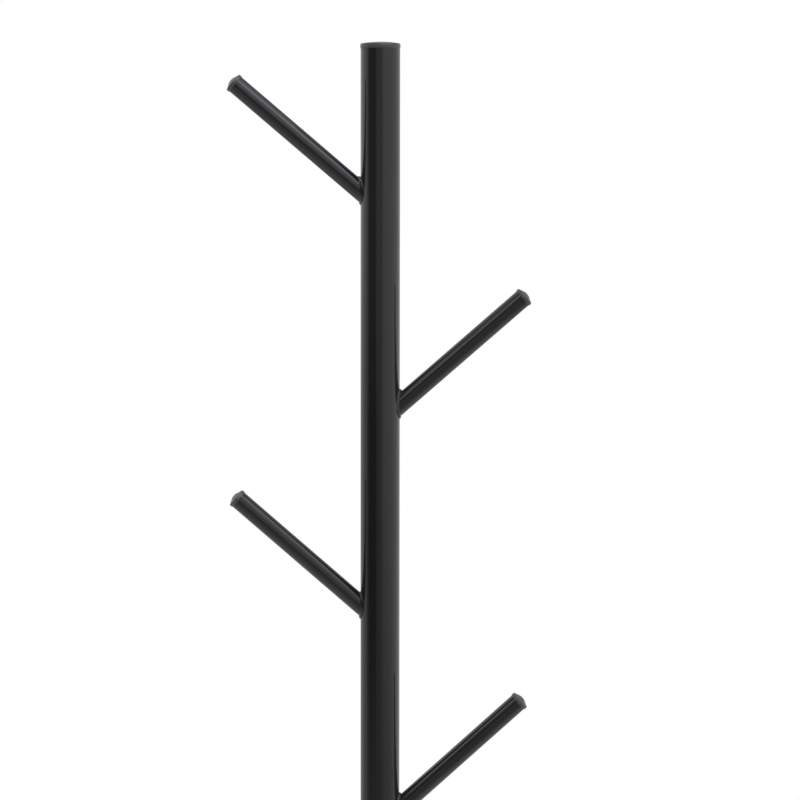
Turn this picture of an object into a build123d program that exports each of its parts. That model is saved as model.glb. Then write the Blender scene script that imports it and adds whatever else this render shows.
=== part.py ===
from build123d import *
import math
import os

# A free-standing coat tree: a round steel floor plate on rubber pads, a pole in two screwed
# sections, and four tube branches welded to the upper section, left and right in turn.
# Every open tube end is closed with a moulded plug.
# Millimetres, +Z up. The origin is on the floor under the pole, and the branches lie in the XZ plane.

# Pole
OVERALL_HEIGHT = 1750.0
POLE_DIAMETER = 38.0
POLE_WALL = 1.2
SEAM_CHAMFER = 0.4

# Branches: (name, side, drop of the weld point below the pole's top edge, rise above level in degrees)
BRANCHES = [
    ("top_left", -1, 152.7, 40.4),
    ("upper_right", 1, 359.7, 41.1),
    ("lower_left", -1, 555.9, 41.0),
    ("bottom_right", 1, 758.2, 42.2),
]
BRANCH_DIAMETER = 18.0
BRANCH_WALL = 1.0
BRANCH_REACH = 182.5
WELD_LEG = 2.8

# Moulded plugs: a flange on the tube's end, a crowned face and a hollow finned stem inside the tube
PLUG_STEM_GAP = 0.8
PLUG_STEM_WALL = 1.5
FIN_THICKNESS = 1.0
FIN_PITCH = 3.5
POLE_PLUG_FLANGE_DIAMETER = 38.6
POLE_PLUG_FLANGE_HEIGHT = 4.7
POLE_PLUG_RIM_ROUNDING = 1.5
POLE_PLUG_SLOPE = 9.0
POLE_PLUG_ROUND_SHARE = 0.9
POLE_PLUG_STEM = 18.0
BRANCH_PLUG_FLANGE_DIAMETER = 19.2
BRANCH_PLUG_FLANGE_HEIGHT = 3.2
BRANCH_PLUG_RIM_ROUNDING = 0.6
BRANCH_PLUG_SLOPE = 23.0
BRANCH_PLUG_ROUND_SHARE = 0.42
BRANCH_PLUG_STEM = 14.0

# Floor plate and pads
BASE_DIAMETER = 360.0
BASE_THICKNESS = 8.0
BASE_TOP_ROUNDING = 1.5
BASE_BOTTOM_ROUNDING = 0.8
PAD_COUNT = 6
PAD_DIAMETER = 24.0
PAD_THICKNESS = 3.0
PAD_CIRCLE_RADIUS = 160.0
PAD_EDGE_CHAMFER = 0.5

# M10 screws and the steel inserts welded flush into the tube ends
THREAD_DIAMETER = 10.0
INSERT_EDGE_CHAMFER = 1.0
JOINT_INSERT_LENGTH = 16.0
BASE_INSERT_LENGTH = 20.0
STUD_LENGTH = 30.0
STUD_END_CHAMFER = 0.8
STUD_SOCKET_FLATS = 5.0
BOLT_LENGTH = 25.0
BOLT_HEAD_DIAMETER = 20.0
BOLT_SOCKET_FLATS = 6.0
BOLT_CLEARANCE_DIAMETER = 11.0
SOCKET_DEPTH = 4.0

# Heights that follow from the sizes above
POLE_PLUG_RADIUS = POLE_PLUG_FLANGE_DIAMETER / 2
POLE_BOTTOM = PAD_THICKNESS + BASE_THICKNESS

UPWARD = (Align.CENTER, Align.CENTER, Align.MIN)
DOWNWARD = (Align.CENTER, Align.CENTER, Align.MAX)


def crown_height(flange_radius, slope, round_share):
    """Rise of a plug's crown: a cone from the flange's edge that runs into a rounded middle."""
    round_radius = round_share * flange_radius
    angle = math.radians(slope)
    cone_rise = (flange_radius - round_radius) * math.tan(angle)
    cap_rise = round_radius * math.tan(angle / 2)
    return cone_rise + cap_rise


POLE_CROWN = crown_height(POLE_PLUG_RADIUS, POLE_PLUG_SLOPE, POLE_PLUG_ROUND_SHARE)
POLE_TOP = OVERALL_HEIGHT - POLE_PLUG_FLANGE_HEIGHT - POLE_CROWN
POLE_SEAM = (POLE_BOTTOM + POLE_TOP) / 2


def tube(diameter, wall, length):
    """Open round tube standing on z = 0."""
    outside = Cylinder(diameter / 2, length, align=UPWARD)
    bore = Cylinder(diameter / 2 - wall, length, align=UPWARD)
    return outside - bore


def pole_section(bottom, top, seam_height):
    """One pole section; the outer edge at the seam between the sections is broken."""
    section = Pos(0, 0, bottom) * tube(POLE_DIAMETER, POLE_WALL, top - bottom)
    seam_edges = section.edges().filter_by(GeomType.CIRCLE).filter_by(
        lambda edge: abs(edge.center().Z - seam_height) < 0.01 and edge.radius > POLE_DIAMETER / 2 - 0.01
    )
    return chamfer(seam_edges, SEAM_CHAMFER)


def branch_plane(side, drop, rise):
    """Plane at the point where the branch's axis meets the pole's axis, with its Z along the branch."""
    angle = math.radians(rise)
    along = (side * math.cos(angle), 0, math.sin(angle))
    across = (-math.sin(angle), 0, side * math.cos(angle))
    return Plane(origin=(0, 0, POLE_TOP - drop), x_dir=across, z_dir=along)


def pole_blank():
    """The pole's outer shape as a solid bar, used to cope the branches and to shape their welds.

    It is turned so that the start of its round face is at the back, away from every branch.
    """
    bar = Cylinder(POLE_DIAMETER / 2, POLE_TOP - POLE_SEAM, align=UPWARD)
    return Pos(0, 0, POLE_SEAM) * Rot(0, 0, 90) * bar


def branch_tube(plane):
    """Branch tube, its foot coped to the pole's outer surface."""
    return plane * tube(BRANCH_DIAMETER, BRANCH_WALL, BRANCH_REACH) - pole_blank()


def weld_bead(plane):
    """Fillet weld around the foot of a branch, outside both tubes."""
    pole = pole_blank()
    branch = plane * Cylinder(BRANCH_DIAMETER / 2, BRANCH_REACH, align=UPWARD)
    joined = pole + branch
    foot_edges = joined.edges().filter_by(
        lambda edge: edge.geom_type not in (GeomType.LINE, GeomType.CIRCLE)
    )
    return chamfer(foot_edges, WELD_LEG) - pole - branch


def turned(outline):
    """Solid turned about Z from a closed outline in the XZ plane."""
    return revolve(make_face(outline), Axis.Z)


def plug_head(flange_radius, flange_height, slope, round_share, rim_rounding):
    """Flange and crown of a plug, standing on z = 0."""
    angle = math.radians(slope)
    round_radius = round_share * flange_radius
    sphere_radius = round_radius / math.sin(angle)
    apex = flange_height + crown_height(flange_radius, slope, round_share)
    sphere_centre = apex - sphere_radius
    round_edge = (round_radius, 0, sphere_centre + sphere_radius * math.cos(angle))
    half_way = (
        sphere_radius * math.sin(angle / 2),
        0,
        sphere_centre + sphere_radius * math.cos(angle / 2),
    )
    straight = Polyline(
        (0, 0, apex),
        (0, 0, 0),
        (flange_radius, 0, 0),
        (flange_radius, 0, flange_height),
        round_edge,
    )
    head = turned(straight + ThreePointArc(round_edge, half_way, (0, 0, apex)))
    rim = head.edges().filter_by(
        lambda edge: edge.geom_type == GeomType.CIRCLE
        and abs(edge.radius - flange_radius) < 0.01
        and edge.center().Z > flange_height / 2
    )
    return fillet(rim, rim_rounding)


def plug_stem(bore_radius, length):
    """Hollow stem below z = 0, with fins that grip the tube's bore."""
    radius = bore_radius - PLUG_STEM_GAP
    stem = Cylinder(radius, length, align=DOWNWARD)
    fin_top = -FIN_PITCH / 2
    while fin_top - FIN_THICKNESS > -length:
        stem += Pos(0, 0, fin_top) * Cylinder(bore_radius, FIN_THICKNESS, align=DOWNWARD)
        fin_top -= FIN_PITCH
    return stem - Cylinder(radius - PLUG_STEM_WALL, length, align=DOWNWARD)


def hex_socket(flats):
    """Cutter for a hexagon key socket that goes up from z = 0."""
    return extrude(RegularPolygon(flats / 2, 6, major_radius=False), SOCKET_DEPTH)


def threaded_insert(bottom, length):
    """Steel disc with a central thread, welded flush into a pole section's end."""
    blank = Cylinder(POLE_DIAMETER / 2 - POLE_WALL, length, align=UPWARD)
    blank = chamfer(blank.edges().filter_by(GeomType.CIRCLE), INSERT_EDGE_CHAMFER)
    return Pos(0, 0, bottom) * (blank - Cylinder(THREAD_DIAMETER / 2, length, align=UPWARD))


def joint_stud():
    """Headless screw that pulls the two pole sections together."""
    stud = Cylinder(THREAD_DIAMETER / 2, STUD_LENGTH, align=UPWARD)
    stud = chamfer(stud.edges().filter_by(GeomType.CIRCLE), STUD_END_CHAMFER)
    return Pos(0, 0, POLE_SEAM - STUD_LENGTH / 2) * (stud - hex_socket(STUD_SOCKET_FLATS))


def head_cone(base_radius, tip_radius):
    """Ninety-degree countersink cone that narrows upwards from z = 0."""
    return Cone(base_radius, tip_radius, base_radius - tip_radius, align=UPWARD)


def base_bolt():
    """Countersunk screw, flush with the plate's underside, up into the pole's bottom insert."""
    shank = Cylinder(THREAD_DIAMETER / 2, BOLT_LENGTH, align=UPWARD)
    bolt = shank + head_cone(BOLT_HEAD_DIAMETER / 2, THREAD_DIAMETER / 2)
    return Pos(0, 0, PAD_THICKNESS) * (bolt - hex_socket(BOLT_SOCKET_FLATS))


def base_plate():
    """Round floor plate with rounded edges and a countersunk hole in the middle."""
    plate = Cylinder(BASE_DIAMETER / 2, BASE_THICKNESS, align=UPWARD)
    plate = fillet(plate.edges().filter_by(GeomType.CIRCLE).sort_by(Axis.Z)[-1], BASE_TOP_ROUNDING)
    plate = fillet(plate.edges().filter_by(GeomType.CIRCLE).sort_by(Axis.Z)[0], BASE_BOTTOM_ROUNDING)
    hole = Cylinder(BOLT_CLEARANCE_DIAMETER / 2, BASE_THICKNESS, align=UPWARD)
    countersink = head_cone(BOLT_HEAD_DIAMETER / 2, BOLT_CLEARANCE_DIAMETER / 2)
    return Pos(0, 0, PAD_THICKNESS) * (plate - hole - countersink)


def foot_pad(number):
    """One of the stick-on rubber pads, evenly spaced near the plate's edge."""
    pad = Cylinder(PAD_DIAMETER / 2, PAD_THICKNESS, align=UPWARD)
    pad = chamfer(pad.edges().filter_by(GeomType.CIRCLE).sort_by(Axis.Z)[0], PAD_EDGE_CHAMFER)
    return Rot(0, 0, number * 360 / PAD_COUNT) * Pos(PAD_CIRCLE_RADIUS, 0, 0) * pad


def pole_parts():
    """Both pole sections, the screwed joint between them and the plug on top."""
    head = plug_head(
        POLE_PLUG_RADIUS,
        POLE_PLUG_FLANGE_HEIGHT,
        POLE_PLUG_SLOPE,
        POLE_PLUG_ROUND_SHARE,
        POLE_PLUG_RIM_ROUNDING,
    )
    plug = head + plug_stem(POLE_DIAMETER / 2 - POLE_WALL, POLE_PLUG_STEM)
    return {
        "upper_pole": pole_section(POLE_SEAM, POLE_TOP, POLE_SEAM),
        "lower_pole": pole_section(POLE_BOTTOM, POLE_SEAM, POLE_SEAM),
        "pole_top_plug": Pos(0, 0, POLE_TOP) * plug,
        "upper_joint_insert": threaded_insert(POLE_SEAM, JOINT_INSERT_LENGTH),
        "lower_joint_insert": threaded_insert(POLE_SEAM - JOINT_INSERT_LENGTH, JOINT_INSERT_LENGTH),
        "joint_stud": joint_stud(),
    }


def branch_parts():
    """The four branches, each with its weld and its end plug."""
    parts = {}
    head = plug_head(
        BRANCH_PLUG_FLANGE_DIAMETER / 2,
        BRANCH_PLUG_FLANGE_HEIGHT,
        BRANCH_PLUG_SLOPE,
        BRANCH_PLUG_ROUND_SHARE,
        BRANCH_PLUG_RIM_ROUNDING,
    )
    plug = head + plug_stem(BRANCH_DIAMETER / 2 - BRANCH_WALL, BRANCH_PLUG_STEM)
    for name, side, drop, rise in BRANCHES:
        plane = branch_plane(side, drop, rise)
        parts[f"{name}_branch"] = branch_tube(plane)
        parts[f"{name}_weld"] = weld_bead(plane)
        parts[f"{name}_end_plug"] = plane * (Pos(0, 0, BRANCH_REACH) * plug)
    return parts


def base_parts():
    """Floor plate, its screw and insert, and the pads that it stands on."""
    parts = {
        "base_plate": base_plate(),
        "base_insert": threaded_insert(POLE_BOTTOM, BASE_INSERT_LENGTH),
        "base_bolt": base_bolt(),
    }
    for number in range(PAD_COUNT):
        parts[f"foot_pad_{number + 1}"] = foot_pad(number)
    return parts


os.makedirs("parts", exist_ok=True)
for node, solid in {**pole_parts(), **branch_parts(), **base_parts()}.items():
    export_step(solid, f"parts/{node}.step")
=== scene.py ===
import math

import bmesh
import bpy
from mathutils import Matrix, Vector


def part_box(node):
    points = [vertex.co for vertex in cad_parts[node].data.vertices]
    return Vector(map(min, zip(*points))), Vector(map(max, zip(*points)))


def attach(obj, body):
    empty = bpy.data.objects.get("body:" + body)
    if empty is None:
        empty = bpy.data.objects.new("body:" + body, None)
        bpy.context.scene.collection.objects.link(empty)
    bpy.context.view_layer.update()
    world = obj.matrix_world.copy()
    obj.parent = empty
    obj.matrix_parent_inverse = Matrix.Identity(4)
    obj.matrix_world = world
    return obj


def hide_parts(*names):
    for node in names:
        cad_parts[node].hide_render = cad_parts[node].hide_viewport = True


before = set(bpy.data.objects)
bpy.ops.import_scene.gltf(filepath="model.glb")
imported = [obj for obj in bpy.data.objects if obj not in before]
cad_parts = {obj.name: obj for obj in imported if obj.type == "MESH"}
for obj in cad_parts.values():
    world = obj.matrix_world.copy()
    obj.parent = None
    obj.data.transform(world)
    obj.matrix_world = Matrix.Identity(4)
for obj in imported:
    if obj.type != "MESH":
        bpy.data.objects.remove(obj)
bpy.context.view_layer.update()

# Looks of the coat tree: gloss black baked paint on welded steel tube, charcoal moulded plugs,
# zinc-plated screws and rubber pads, in a pale studio. Metres, +Z up, the front faces -Y.

MM = 0.001
BODY = "root"
BRANCHES = ("top_left", "upper_right", "lower_left", "bottom_right")
PAINTED = ["upper_pole", "lower_pole", "base_plate"] + [f"{name}_branch" for name in BRANCHES]
PLATED = ["upper_joint_insert", "lower_joint_insert", "joint_stud", "base_insert", "base_bolt"]
PADS = [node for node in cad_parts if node.startswith("foot_pad_")]

POLE_LOW, POLE_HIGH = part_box("upper_pole")
POLE_RADIUS = (POLE_HIGH.x - POLE_LOW.x) / 2
POLE_TOP = POLE_HIGH.z
BRANCH_LOW, BRANCH_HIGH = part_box("top_left_branch")
BRANCH_RADIUS = (BRANCH_HIGH.y - BRANCH_LOW.y) / 2
ROUGH_BRANCH_RISE = math.radians(41)

# Plugs: the same flange and crown sizes as the CAD plugs that they stand for. The crown's slope
# at its edge is in degrees, and round_share is the share of its radius that is rounded.
POLE_PLUG = {
    "flange": 4.7 * MM,
    "rim": 1.5 * MM,
    "slope": 9.0,
    "round_share": 0.9,
    "wall": 1.2 * MM,
    "stem": 18 * MM,
}
BRANCH_PLUG = {
    "flange": 3.2 * MM,
    "rim": 0.7 * MM,
    "slope": 23.0,
    "round_share": 0.42,
    "wall": 1.0 * MM,
    "stem": 14 * MM,
}
PLUG_UNDERSIDE_ROUNDING = 0.6 * MM
PLUG_SEAM_HEIGHT = 0.06 * MM
PLUG_STEM_GAP = 0.8 * MM
PLUG_STEM_WALL = 1.5 * MM
PLUG_FIN_PITCH = 3.5 * MM
PLUG_CROWN_STEPS = 10

# Meshes
LATHE_STEPS = 128
ROUNDING_STEPS = 6
ON_AXIS = 1e-7
SHARP_ANGLE = math.radians(38)

# Weld beads, in millimetres: their legs along the branch and along the pole at the top, side and
# bottom, and the height of the drop that hangs from the bottom
BEADS = {
    "top_left": {"branch": (4.0, 3.8, 2.2), "pole": (2.2, 2.4, 2.0), "drop": 0.2},
    "upper_right": {"branch": (2.9, 2.3, 1.7), "pole": (3.4, 2.3, 1.8), "drop": 0.55},
    "lower_left": {"branch": (1.6, 3.2, 1.9), "pole": (1.4, 2.6, 2.1), "drop": 0.6},
    "bottom_right": {"branch": (2.9, 2.6, 1.8), "pole": (3.2, 2.4, 1.4), "drop": 0.3},
}
RIPPLE_PITCH = 1.7 * MM
RIPPLE_HEIGHT = 0.04 * MM
BEAD_BULGE = 0.04
BEAD_LUMPINESS = 0.05
WELD_STEPS_AROUND = 360
WELD_STEPS_ACROSS = 12
WELD_SINK = 0.35 * MM

# Materials: pairs of colours and of roughnesses are the two ends of a slow mottle
PAINT_COLOURS = ((0.0133, 0.0133, 0.0135), (0.0168, 0.0168, 0.0168))
PAINT_IOR = 1.54
PAINT_GRAIN_ROUGHNESS = 0.02
PAINT_SPECK_DEPTH = 0.004 * MM
PLASTIC_COLOURS = ((0.048, 0.049, 0.048), (0.074, 0.076, 0.073))
PLASTIC_ROUGHNESS = (0.28, 0.42)
PLASTIC_IOR = 1.6
PLASTIC_TEXTURE_DEPTH = 0.03 * MM
ZINC_COLOURS = ((0.50, 0.51, 0.53), (0.64, 0.65, 0.66))
ZINC_ROUGHNESS = (0.22, 0.38)
ZINC_MARK_DEPTH = 0.01 * MM
RUBBER_COLOURS = ((0.018, 0.018, 0.018), (0.045, 0.044, 0.042))
RUBBER_ROUGHNESS = (0.75, 0.92)
RUBBER_PIT_DEPTH = 0.08 * MM

# Floor sheet: its edges in metres, its look, and the glow that only the camera sees
FLOOR_FRONT = -0.9
FLOOR_BACK = 2.4
FLOOR_HALF_WIDTH = 1.4
FLOOR_COLOURS = ((0.77, 0.74, 0.69), (0.80, 0.77, 0.72))
FLOOR_ROUGHNESS = 0.8
FLOOR_GLOW_FOR_CAMERA = 0.50

# Camera: place in metres, the height measured from the pole's top edge, and tilt in degrees
CAMERA_LENS_MM = 119.9
CAMERA_SENSOR_MM = 36
CAMERA_PLACE = (0.01897, -2.576, POLE_TOP - 0.1137)
CAMERA_DOWNWARD_TILT = 4.988
CAMERA_ROLL = -0.068

# Studio light. Turns are degrees from straight in front, positive to the right; lifts are degrees
# above level. The colour is that of the light from below and of the light from above.
LIGHT_FROM_BELOW = (0.88, 0.82, 0.76)
LIGHT_FROM_ABOVE = (0.80, 0.82, 0.89)
ROOM_LEVEL = 0.235
LEAST_LEVEL = 0.02
BACKDROP_LEVEL = 1.0
# Softboxes: level, turn, lift, radius of the even middle, radius of the soft edge
SOFTBOXES = [
    (1.8, 0, 84, 12, 26),
    (1.1, 50, 42, 10, 40),
    (2.9, 36, 45.8, 2, 12),
    (1.8, 57, 30.3, 2, 7.3),
    (1.4, 3, 27, 3, 21),
    (1.8, -61, 35.5, 3, 10.8),
    (2.1, -34.3, 35, 2, 10),
    (1.2, 72, 45, 3, 11),
    (0.75, 147, 20, 5, 16),
    (0.8, -122, 46, 4, 16),
    (0.3, 128, 44, 4, 16),
]


# ---------------------------------------------------------------- materials


class Nodes:
    """Small helper that adds and links shader nodes in one tree."""

    def __init__(self, tree):
        self.tree = tree

    def add(self, kind, **settings):
        node = self.tree.nodes.new(kind)
        for key, value in settings.items():
            setattr(node, key, value)
        return node

    def link(self, source, target):
        self.tree.links.new(source, target)

    def put(self, value, socket):
        """Sets a number on a socket, or links another socket to it."""
        if isinstance(value, bpy.types.NodeSocket):
            self.link(value, socket)
        else:
            socket.default_value = value

    def math(self, operation, first, second=0.0, third=0.0):
        node = self.add("ShaderNodeMath", operation=operation)
        for value, socket in zip((first, second, third), node.inputs):
            self.put(value, socket)
        return node.outputs[0]

    def ramp(self, value, low, high, out_low=0.0, out_high=1.0):
        """Smooth step from out_low at low to out_high at high."""
        node = self.add("ShaderNodeMapRange", interpolation_type="SMOOTHSTEP")
        values = (value, low, high, out_low, out_high)
        for name, item in zip(("Value", "From Min", "From Max", "To Min", "To Max"), values):
            self.put(item, node.inputs[name])
        return node.outputs["Result"]

    def noise(self, point, size, detail=2.0, roughness=0.5, stretch=(1, 1, 1)):
        """Noise whose features are about size metres across."""
        scale = self.add("ShaderNodeVectorMath", operation="MULTIPLY")
        self.link(point, scale.inputs[0])
        scale.inputs[1].default_value = stretch
        node = self.add("ShaderNodeTexNoise")
        self.link(scale.outputs[0], node.inputs["Vector"])
        node.inputs["Scale"].default_value = 1 / size
        node.inputs["Detail"].default_value = detail
        node.inputs["Roughness"].default_value = roughness
        return node.outputs["Fac"]

    def blend_colour(self, factor, first, second):
        node = self.add("ShaderNodeMix", data_type="RGBA")
        self.put(factor, node.inputs["Factor"])
        node.inputs[6].default_value = (*first, 1)
        node.inputs[7].default_value = (*second, 1)
        return node.outputs[2]

    def bump(self, height, depth, normal=None):
        """Bump of that depth in metres for a height from 0 to 1."""
        node = self.add("ShaderNodeBump")
        node.inputs["Strength"].default_value = 1.0
        node.inputs["Distance"].default_value = depth
        self.link(height, node.inputs["Height"])
        if normal is not None:
            self.link(normal, node.inputs["Normal"])
        return node.outputs["Normal"]


def new_material(name):
    material = bpy.data.materials.new(name)
    material.use_nodes = True
    nodes = Nodes(material.node_tree)
    shader = material.node_tree.nodes["Principled BSDF"]
    point = nodes.add("ShaderNodeTexCoord").outputs["Object"]
    return material, nodes, shader, point


def black_paint(name, peel_depth, roughness):
    """Gloss black baked paint: faint orange peel, hazy patches and a few fine dust specks."""
    material, nodes, shader, point = new_material(name)
    haze = nodes.noise(point, 60 * MM, detail=4.0, roughness=0.6)
    grain = nodes.noise(point, 1.2 * MM, detail=2.0)
    peel = nodes.noise(point, 3.5 * MM, detail=1.0)
    specks = nodes.ramp(nodes.noise(point, 0.9 * MM, detail=0.0), 0.76, 0.80)
    nodes.link(nodes.blend_colour(haze, *PAINT_COLOURS), shader.inputs["Base Color"])
    cloudy = nodes.ramp(haze, 0.3, 0.7, *roughness)
    fine = nodes.math("MULTIPLY_ADD", grain, PAINT_GRAIN_ROUGHNESS, cloudy)
    nodes.link(fine, shader.inputs["Roughness"])
    surface = nodes.bump(peel, peel_depth)
    surface = nodes.bump(specks, PAINT_SPECK_DEPTH, surface)
    nodes.link(surface, shader.inputs["Normal"])
    shader.inputs["IOR"].default_value = PAINT_IOR
    return material


def plug_plastic():
    """Charcoal polyethylene with a fine moulded texture and slightly scuffed highlights."""
    material, nodes, shader, point = new_material("plug_plastic")
    mottle = nodes.noise(point, 5 * MM, detail=4.0, roughness=0.6)
    texture = nodes.noise(point, 0.35 * MM, detail=2.0)
    scuff = nodes.noise(point, 2.2 * MM, detail=3.0, stretch=(1, 1, 3))
    nodes.link(nodes.blend_colour(mottle, *PLASTIC_COLOURS), shader.inputs["Base Color"])
    nodes.link(nodes.ramp(scuff, 0.35, 0.7, *PLASTIC_ROUGHNESS), shader.inputs["Roughness"])
    nodes.link(nodes.bump(texture, PLASTIC_TEXTURE_DEPTH), shader.inputs["Normal"])
    shader.inputs["IOR"].default_value = PLASTIC_IOR
    return material


def zinc_steel():
    """Bright zinc plating: metallic, with turning marks around Z and cloudy patches."""
    material, nodes, shader, point = new_material("zinc_steel")
    cloud = nodes.noise(point, 4 * MM, detail=3.0)
    marks = nodes.noise(point, 6 * MM, detail=2.0, stretch=(1, 1, 30))
    nodes.link(nodes.blend_colour(cloud, *ZINC_COLOURS), shader.inputs["Base Color"])
    nodes.link(nodes.ramp(cloud, 0.3, 0.7, *ZINC_ROUGHNESS), shader.inputs["Roughness"])
    nodes.link(nodes.bump(marks, ZINC_MARK_DEPTH), shader.inputs["Normal"])
    shader.inputs["Metallic"].default_value = 1.0
    return material


def pad_rubber():
    """Foamed black rubber: matt, finely pitted, a little dusty."""
    material, nodes, shader, point = new_material("pad_rubber")
    dust = nodes.noise(point, 8 * MM, detail=4.0)
    pits = nodes.noise(point, 0.5 * MM, detail=2.0)
    nodes.link(nodes.blend_colour(dust, *RUBBER_COLOURS), shader.inputs["Base Color"])
    nodes.link(nodes.ramp(pits, 0.3, 0.7, *RUBBER_ROUGHNESS), shader.inputs["Roughness"])
    nodes.link(nodes.bump(pits, RUBBER_PIT_DEPTH), shader.inputs["Normal"])
    return material


def paint_node(node, material):
    """Gives a CAD node its material in every slot."""
    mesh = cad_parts[node].data
    for index in range(len(mesh.materials)):
        mesh.materials[index] = material


# ---------------------------------------------------------------- meshes


def rounded_outline(corners):
    """Outline through (radius, height, rounding) corners; a corner with a rounding is bent."""
    points = []
    for index, (radius, height, rounding) in enumerate(corners):
        here = Vector((radius, height))
        if not rounding or index in (0, len(corners) - 1):
            points.append(here)
            continue
        back = (Vector(corners[index - 1][:2]) - here).normalized()
        onward = (Vector(corners[index + 1][:2]) - here).normalized()
        half_angle = back.angle(onward) / 2
        reach = rounding / math.tan(half_angle)
        start = here + back * reach
        end = here + onward * reach
        for step in range(ROUNDING_STEPS + 1):
            share = step / ROUNDING_STEPS
            points.append(start.lerp(here, share).lerp(here.lerp(end, share), share))
    return points


def lathe(name, outline):
    """Closed solid turned about Z from an outline that starts and ends on the axis."""
    mesh = bmesh.new()
    rings = []
    for point in outline:
        if point.x < ON_AXIS:
            rings.append([mesh.verts.new((0, 0, point.y))])
            continue
        ring = []
        for step in range(LATHE_STEPS):
            angle = 2 * math.pi * step / LATHE_STEPS
            place = (point.x * math.cos(angle), point.x * math.sin(angle), point.y)
            ring.append(mesh.verts.new(place))
        rings.append(ring)
    for lower, upper in zip(rings, rings[1:]):
        for step in range(LATHE_STEPS):
            following = (step + 1) % LATHE_STEPS
            corners = [
                lower[step % len(lower)],
                lower[following % len(lower)],
                upper[following % len(upper)],
                upper[step % len(upper)],
            ]
            mesh.faces.new(list(dict.fromkeys(corners)))
    bmesh.ops.recalc_face_normals(mesh, faces=mesh.faces)
    return finish_mesh(name, mesh)


def finish_mesh(name, mesh):
    """Turns a bmesh into a smooth-shaded object in the scene."""
    data = bpy.data.meshes.new(name)
    mesh.to_mesh(data)
    mesh.free()
    data.shade_smooth()
    data.set_sharp_from_angle(angle=SHARP_ANGLE)
    piece = bpy.data.objects.new(name, data)
    bpy.context.scene.collection.objects.link(piece)
    return piece


def add_piece(piece, node, material):
    """Puts a finished piece in place of a CAD node."""
    piece.data.materials.append(material)
    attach(piece, BODY)
    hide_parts(node)


def plug_outline(flange_radius, bore_radius, sizes):
    """Outline of a moulded plug from its crown's middle down to the end of its hollow stem."""
    flange = sizes["flange"]
    slope = math.radians(sizes["slope"])
    round_radius = sizes["round_share"] * flange_radius
    sphere_radius = round_radius / math.sin(slope)
    edge_height = flange + (flange_radius - round_radius) * math.tan(slope)
    sphere_centre = edge_height - sphere_radius * math.cos(slope)
    apex = sphere_centre + sphere_radius

    # Gate mark in the middle of the crown: a shallow dish with the cut-off sprue standing in it
    dish = 0.35 * MM
    corners = [
        (0, apex - 0.10 * MM, 0),
        (0.55 * MM, apex - 0.12 * MM, 0.08 * MM),
        (0.75 * MM, apex - dish, 0.08 * MM),
        (1.60 * MM, apex - dish, 0.15 * MM),
    ]
    dish_edge = 2.1 * MM
    first = math.asin(dish_edge / sphere_radius)
    for step in range(PLUG_CROWN_STEPS + 1):
        angle = first + (slope - first) * step / PLUG_CROWN_STEPS
        radius = sphere_radius * math.sin(angle)
        corners.append((radius, sphere_centre + sphere_radius * math.cos(angle), 0))

    # Rim, parting line and underside of the flange
    corners += [
        (flange_radius, flange, sizes["rim"]),
        (flange_radius, flange * 0.52, 0),
        (flange_radius + PLUG_SEAM_HEIGHT, flange * 0.5, 0),
        (flange_radius, flange * 0.48, 0),
        (flange_radius, 0, PLUG_UNDERSIDE_ROUNDING),
        (bore_radius - 0.3 * MM, 0, 0),
    ]

    # Finned stem, then back up inside it
    stem_radius = bore_radius - PLUG_STEM_GAP
    fin_radius = bore_radius - 0.02 * MM
    top = -1.2 * MM
    while top > -sizes["stem"] + 2.5 * MM:
        corners += [
            (stem_radius, top, 0),
            (fin_radius, top - 0.5 * MM, 0),
            (fin_radius, top - 1.0 * MM, 0),
            (stem_radius, top - 1.6 * MM, 0),
        ]
        top -= PLUG_FIN_PITCH
    corners += [
        (stem_radius, -sizes["stem"], 0.4 * MM),
        (stem_radius - PLUG_STEM_WALL, -sizes["stem"], 0.4 * MM),
        (stem_radius - PLUG_STEM_WALL, -0.8 * MM, 1.0 * MM),
        (0, -0.5 * MM, 0),
    ]
    return rounded_outline(corners)


def branch_axis(name):
    """A branch's axis: where it meets the pole's axis, its direction, and its open end."""
    points = [vertex.co.copy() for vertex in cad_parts[f"{name}_branch"].data.vertices]
    side = 1 if sum(point.x for point in points) > 0 else -1
    rough = Vector((side * math.cos(ROUGH_BRANCH_RISE), 0, math.sin(ROUGH_BRANCH_RISE)))
    far = max(point.dot(rough) for point in points)
    ring = [point for point in points if point.dot(rough) > far - 0.5 * MM]
    top = max(ring, key=lambda point: point.z)
    bottom = min(ring, key=lambda point: point.z)
    end = (top + bottom) / 2
    end.y = 0
    across = (top - bottom).normalized()
    along = Vector((side * abs(across.z), 0, abs(across.x))).normalized()
    foot = end - along * (end.x / along.x)
    return foot, along, end


def frame_matrix(origin, along):
    """Matrix that stands Z along a direction in the XZ plane, at origin."""
    depth = Vector((0, 1, 0))
    sideways = depth.cross(along)
    turn = Matrix((sideways, depth, along)).transposed().to_4x4()
    return Matrix.Translation(origin) @ turn


def make_plugs(material):
    """Plugs in the pole's top and in the branch ends."""
    top_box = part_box("pole_top_plug")
    radius = (top_box[1].x - top_box[0].x) / 2
    outline = plug_outline(radius, POLE_RADIUS - POLE_PLUG["wall"], POLE_PLUG)
    cap = lathe("top_plug", outline)
    cap.data.transform(Matrix.Translation((0, 0, POLE_TOP)))
    add_piece(cap, "pole_top_plug", material)
    for name in BRANCHES:
        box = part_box(f"{name}_end_plug")
        radius = (box[1].y - box[0].y) / 2
        outline = plug_outline(radius, BRANCH_RADIUS - BRANCH_PLUG["wall"], BRANCH_PLUG)
        plug = lathe(f"{name}_plug", outline)
        _, along, end = branch_axis(name)
        plug.data.transform(frame_matrix(end, along))
        add_piece(plug, f"{name}_end_plug", material)


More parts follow.
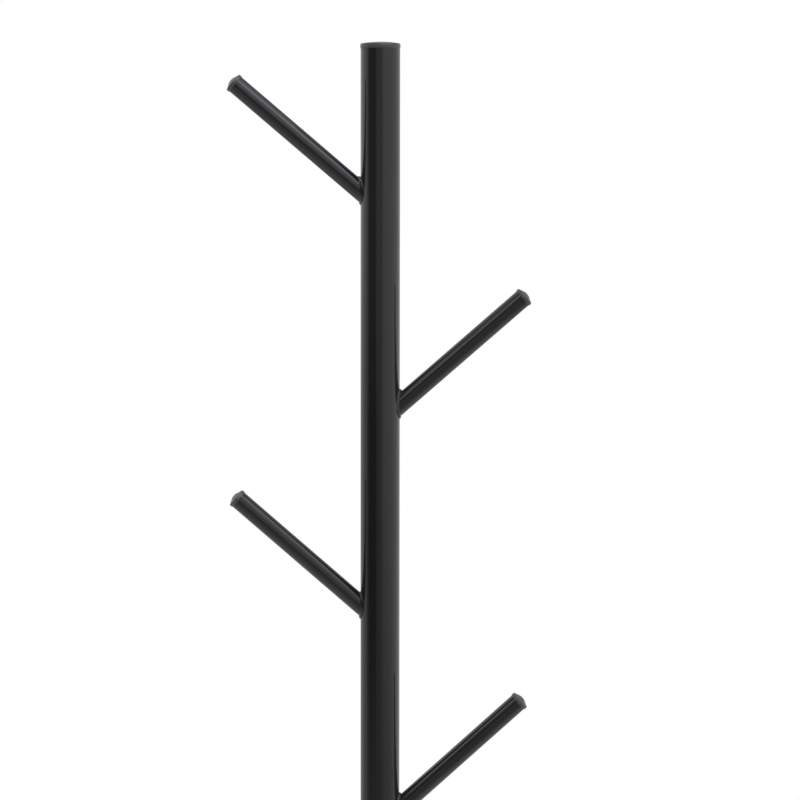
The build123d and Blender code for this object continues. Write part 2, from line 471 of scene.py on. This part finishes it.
def leg_at(legs, angle):
    """Leg of a bead, in metres, at an angle around the branch from its top."""
    top, middle, bottom = legs
    ends = top if math.cos(angle) > 0 else bottom
    return (middle + (ends - middle) * math.cos(angle) ** 2) * MM


def branch_foot(name):
    """Function from an angle around a branch to its foot's point there and the way outwards."""
    start, along, _ = branch_axis(name)
    side = 1 if along.x > 0 else -1
    slant, rise = abs(along.x), along.z
    up = Vector((-side * rise, 0, slant))

    def foot_at(angle):
        reach_y = BRANCH_RADIUS * math.sin(angle)
        depth = math.sqrt(POLE_RADIUS**2 - reach_y**2)
        distance = (depth + BRANCH_RADIUS * math.cos(angle) * rise) / slant
        radial = up * math.cos(angle) + Vector((0, 1, 0)) * math.sin(angle)
        return start + along * distance + radial * BRANCH_RADIUS, radial

    return foot_at, along


def bead_section(name, angle, number, travelled, foot_at, along):
    """Points of a bead's cross-section: its outer face, then its root inside both tubes."""
    point, radial = foot_at(angle)
    ahead = foot_at(angle + 0.01)[0] - foot_at(angle - 0.01)[0]
    outward = Vector((point.x, point.y, 0)).normalized()
    down_pole = outward.cross(ahead).normalized()
    if down_pole.dot(radial) < 0:
        down_pole = -down_pole
    wander = math.sin(angle * 3 + number * 1.9) + 0.6 * math.sin(angle * 7 + number * 2.7)
    lumpy = 1 + BEAD_LUMPINESS * wander
    branch_leg = leg_at(BEADS[name]["branch"], angle) * lumpy
    pole_leg = leg_at(BEADS[name]["pole"], angle) * lumpy
    branch_toe = point + along * branch_leg
    pole_toe = point + down_pole * pole_leg
    flat = Vector((pole_toe.x, pole_toe.y, 0)).normalized() * POLE_RADIUS
    pole_toe = Vector((flat.x, flat.y, pole_toe.z))
    throat = ((branch_toe + pole_toe) / 2 - point).normalized()
    drop = BEADS[name]["drop"] * MM * max(0, -math.cos(angle)) ** 8
    bulge = BEAD_BULGE * (branch_leg + pole_leg) + drop
    section = []
    for across in range(WELD_STEPS_ACROSS + 1):
        share = across / WELD_STEPS_ACROSS
        crescent = 4 * share * (1 - share)
        phase = 2 * math.pi * (travelled / RIPPLE_PITCH - 0.45 * crescent)
        ripple = RIPPLE_HEIGHT * math.sin(phase + 0.4 * math.sin(phase * 0.31))
        section.append(branch_toe.lerp(pole_toe, share) + throat * crescent * (bulge + ripple))
    section.append(pole_toe - outward * WELD_SINK)
    section.append(point - outward * WELD_SINK - radial * WELD_SINK)
    section.append(branch_toe - radial * WELD_SINK)
    return section


def make_weld(name, number, material):
    """Rippled fillet bead around a branch's foot, sunk a little into both tubes."""
    foot_at, along = branch_foot(name)
    mesh = bmesh.new()
    rings = []
    travelled = 0.0
    previous = foot_at(0)[0]
    for step in range(WELD_STEPS_AROUND):
        angle = 2 * math.pi * step / WELD_STEPS_AROUND
        point = foot_at(angle)[0]
        travelled += (point - previous).length
        previous = point
        section = bead_section(name, angle, number, travelled, foot_at, along)
        rings.append([mesh.verts.new(corner) for corner in section])
    count = len(rings[0])
    for index, here in enumerate(rings):
        following = rings[(index + 1) % WELD_STEPS_AROUND]
        for corner in range(count):
            onward = (corner + 1) % count
            mesh.faces.new((here[corner], here[onward], following[onward], following[corner]))
    bmesh.ops.recalc_face_normals(mesh, faces=mesh.faces)
    bead = finish_mesh(f"{name}_bead", mesh)
    add_piece(bead, f"{name}_weld", material)


def make_pads(material):
    """Stick-on pads with rounded, slightly bulging sides."""
    for node in PADS:
        low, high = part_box(node)
        centre = (low + high) / 2
        radius = (high.x - low.x) / 2
        thickness = high.z - low.z
        outline = rounded_outline([
            (0, thickness, 0),
            (radius - 0.25 * MM, thickness, 0.2 * MM),
            (radius, thickness * 0.55, 0.8 * MM),
            (radius - 0.15 * MM, 0, 0.6 * MM),
            (0, 0, 0),
        ])
        pad = lathe(f"{node}_rubber", outline)
        pad.data.transform(Matrix.Translation((centre.x, centre.y, low.z)))
        add_piece(pad, node, material)


# ---------------------------------------------------------------- studio


def studio_level(nodes, direction, turn, lift):
    """Light level in a direction, added up from the room's walls, ceiling, floor and lights."""

    def times(*factors):
        product = factors[0]
        for factor in factors[1:]:
            product = nodes.math("MULTIPLY", product, factor)
        return product

    def above(value, edge, soft):
        """1 above the edge and 0 below it, soft degrees to each side."""
        return nodes.ramp(value, edge - soft, edge + soft)

    def below(value, edge, soft):
        """1 below the edge and 0 above it, soft degrees to each side."""
        return nodes.ramp(value, edge - soft, edge + soft, 1.0, 0.0)

    def between(value, low, high, soft_low, soft_high):
        """1 between the two edges and 0 outside them."""
        return times(above(value, low, soft_low), below(value, high, soft_high))

    def softbox(level, at_turn, at_lift, inner, outer):
        """Round bright field about a direction."""
        sideways, upwards = math.radians(at_turn), math.radians(at_lift)
        aim = (
            math.sin(sideways) * math.cos(upwards),
            -math.cos(sideways) * math.cos(upwards),
            math.sin(upwards),
        )
        dot = nodes.add("ShaderNodeVectorMath", operation="DOT_PRODUCT")
        nodes.link(direction, dot.inputs[0])
        dot.inputs[1].default_value = aim
        low, high = math.cos(math.radians(outer)), math.cos(math.radians(inner))
        return nodes.ramp(dot.outputs["Value"], low, high, 0.0, level)

    # Dark opening at the front left, at standing height, darker below the eye; its sides lean
    leaning = nodes.math("MULTIPLY_ADD", lift, -0.23, turn)
    standing = times(above(lift, -12.3, 3), below(lift, 19, 3))
    depth = nodes.ramp(lift, -6.5, -2, 0.93, 0.52)
    opening = times(depth, between(leaning, -85.7, -19.3, 11.3, 4.8), standing)
    room = times(ROOM_LEVEL, nodes.math("SUBTRACT", 1.0, opening))

    # The walls end in a dark gap under the ceiling, and the right one's lower edge slopes
    under_gap = below(lift, 14.1, 3)
    sloping = nodes.math("MULTIPLY_ADD", turn, 0.114, lift)
    right_wall = times(0.79, above(turn, 9.5, 17.9), above(sloping, -6, 14.4), under_gap)
    right_end = times(0.07, above(turn, 75, 15), under_gap)
    left_wall = times(below(turn, -77.1, 16.2), below(lift, 34.8, 3))
    left_wall_high = times(0.86, left_wall, above(lift, -2.9, 3.2))
    left_wall_low = times(0.50, left_wall, above(lift, -24, 15), below(lift, -2.9, 3.2))
    left_end = times(0.10, below(turn, -108, 10), below(lift, 34.8, 3), above(lift, -24, 15))
    behind = above(nodes.math("ABSOLUTE", turn), 153.5, 2)
    dark_behind = times(-0.43, behind, under_gap)

    # Lit stripe left of the camera, the ceiling's two steps, and the floor past its sheet
    at_eye = times(above(lift, -4.2, 2.1), below(lift, 5, 4))
    stripe = times(0.23, between(turn, -25, -1, 1.2, 1.2), at_eye)
    ceiling = times(0.43, above(lift, 42.2, 1.3))
    ceiling_middle = times(0.10, above(lift, 45.5, 2))
    floor = times(0.16, below(lift, -20, 8))
    floor_left = times(0.20, below(lift, -20, 8), below(turn, -5, 15))
    floor_near = times(0.33, below(lift, -42.6, 6.4), above(turn, -107.6, 12))

    fields = [
        room,
        stripe,
        right_wall,
        right_end,
        left_wall_high,
        left_wall_low,
        left_end,
        dark_behind,
        ceiling,
        ceiling_middle,
        floor,
        floor_left,
        floor_near,
    ]
    fields += [softbox(*box) for box in SOFTBOXES]
    total = fields[0]
    for field in fields[1:]:
        total = nodes.math("ADD", field, total)
    return nodes.math("MAXIMUM", total, LEAST_LEVEL)


def make_world():
    """Pale studio, dark at the front left; the camera sees a white backdrop in its place."""
    world = bpy.data.worlds.new("studio")
    bpy.context.scene.world = world
    world.use_nodes = True
    nodes = Nodes(world.node_tree)
    for node in list(world.node_tree.nodes):
        world.node_tree.nodes.remove(node)
    direction = nodes.add("ShaderNodeTexCoord").outputs["Generated"]
    parts = nodes.add("ShaderNodeSeparateXYZ")
    nodes.link(direction, parts.inputs[0])
    x, y, z = parts.outputs
    degrees = 180 / math.pi
    forwards = nodes.math("MULTIPLY", y, -1.0)
    turn = nodes.math("MULTIPLY", nodes.math("ARCTAN2", x, forwards), degrees)
    lift = nodes.math("MULTIPLY", nodes.math("ARCSINE", z), degrees)
    studio = nodes.add("ShaderNodeBackground")
    nodes.link(studio_level(nodes, direction, turn, lift), studio.inputs["Strength"])
    daylight = nodes.ramp(lift, -30, 30)
    nodes.link(nodes.blend_colour(daylight, LIGHT_FROM_BELOW, LIGHT_FROM_ABOVE),
               studio.inputs["Color"])
    backdrop = nodes.add("ShaderNodeBackground")
    backdrop.inputs["Color"].default_value = (1, 1, 1, 1)
    backdrop.inputs["Strength"].default_value = BACKDROP_LEVEL
    seen = nodes.add("ShaderNodeMixShader")
    nodes.link(nodes.add("ShaderNodeLightPath").outputs["Is Camera Ray"], seen.inputs[0])
    nodes.link(studio.outputs[0], seen.inputs[1])
    nodes.link(backdrop.outputs[0], seen.inputs[2])
    nodes.link(seen.outputs[0], nodes.add("ShaderNodeOutputWorld").inputs[0])


def make_floor():
    """Pale floor sheet that starts a little in front of the tree and runs far back."""
    mesh = bmesh.new()
    corners = [
        (-FLOOR_HALF_WIDTH, FLOOR_FRONT),
        (FLOOR_HALF_WIDTH, FLOOR_FRONT),
        (FLOOR_HALF_WIDTH, FLOOR_BACK),
        (-FLOOR_HALF_WIDTH, FLOOR_BACK),
    ]
    mesh.faces.new([mesh.verts.new((x, y, 0)) for x, y in corners])
    floor = finish_mesh("floor", mesh)
    material, nodes, shader, point = new_material("floor_sheet")
    mottle = nodes.noise(point, 0.4, detail=3.0)
    nodes.link(nodes.blend_colour(mottle, *FLOOR_COLOURS), shader.inputs["Base Color"])
    shader.inputs["Roughness"].default_value = FLOOR_ROUGHNESS
    shader.inputs["Emission Color"].default_value = (1, 1, 1, 1)
    seen = nodes.add("ShaderNodeLightPath").outputs["Is Camera Ray"]
    glow = nodes.math("MULTIPLY", seen, FLOOR_GLOW_FOR_CAMERA)
    nodes.link(glow, shader.inputs["Emission Strength"])
    floor.data.materials.append(material)


def make_camera():
    """Long lens at standing eye height, about 2.6 m in front, tilted slightly down."""
    data = bpy.data.cameras.new("camera")
    data.sensor_width = CAMERA_SENSOR_MM
    data.lens = CAMERA_LENS_MM
    camera = bpy.data.objects.new("camera", data)
    bpy.context.scene.collection.objects.link(camera)
    camera.location = CAMERA_PLACE
    tilt = math.radians(90 - CAMERA_DOWNWARD_TILT)
    camera.rotation_euler = (tilt, math.radians(CAMERA_ROLL), 0)
    bpy.context.scene.camera = camera


def build():
    paint = black_paint("tube_paint", peel_depth=0.006 * MM, roughness=(0.05, 0.08))
    bead_paint = black_paint("bead_paint", peel_depth=0.012 * MM, roughness=(0.07, 0.12))
    plate_paint = black_paint("plate_paint", peel_depth=0.02 * MM, roughness=(0.14, 0.22))
    plastic = plug_plastic()
    zinc = zinc_steel()
    rubber = pad_rubber()
    for node in PAINTED:
        paint_node(node, plate_paint if node == "base_plate" else paint)
    for node in PLATED:
        paint_node(node, zinc)
    make_plugs(plastic)
    for number, name in enumerate(BRANCHES):
        make_weld(name, number, bead_paint)
    make_pads(rubber)
    bpy.context.scene.view_settings.view_transform = "Standard"
    bpy.context.scene.view_settings.look = "None"
    make_world()
    make_floor()
    make_camera()


build()
